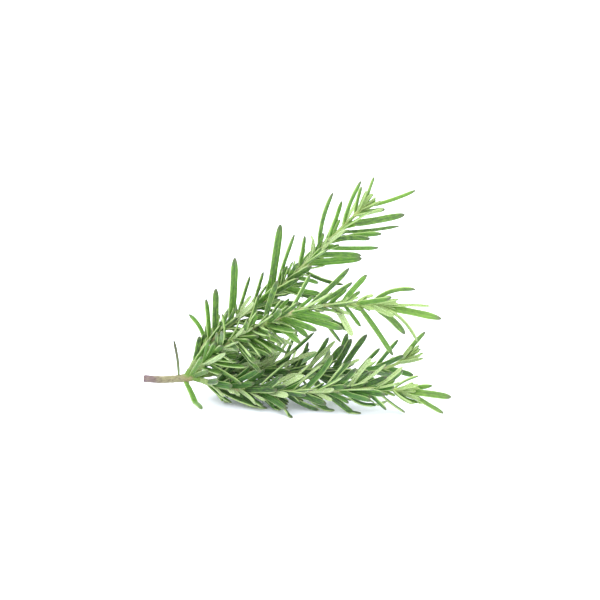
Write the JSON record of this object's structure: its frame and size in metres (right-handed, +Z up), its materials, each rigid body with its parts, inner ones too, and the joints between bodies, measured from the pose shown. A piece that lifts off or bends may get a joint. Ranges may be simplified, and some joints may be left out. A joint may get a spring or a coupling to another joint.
{
  "type": "rosemary sprig",
  "caption": "Cut rosemary sprig lying on a table: a bare woody stem that forks into leafy shoots of narrow needles, one of them rising.",
  "frame": {"origin": "on the table, under the middle of the sprig's box", "axes": "+X from the cut end towards the shoots' tips, +Y away from the viewer, +Z up from the table"},
  "size_m": [0.1348, 0.0596, 0.0972],
  "materials": {
    "bark": "matt, finely grooved bark, purplish brown",
    "needle_green": "satin upper side, pale felted underside",
    "young_green": "satin, softly downy"
  },
  "bodies": {
    "root": {"woody_stem": "bark", "rising_shoot": "needle_green", "arching_shoot": "needle_green", "rear_shoot": "needle_green", "front_shoot": "needle_green", "rising_tip": "young_green", "arching_tip": "young_green", "rear_tip": "young_green", "front_tip": "young_green"}
  },
  "joints": []
}
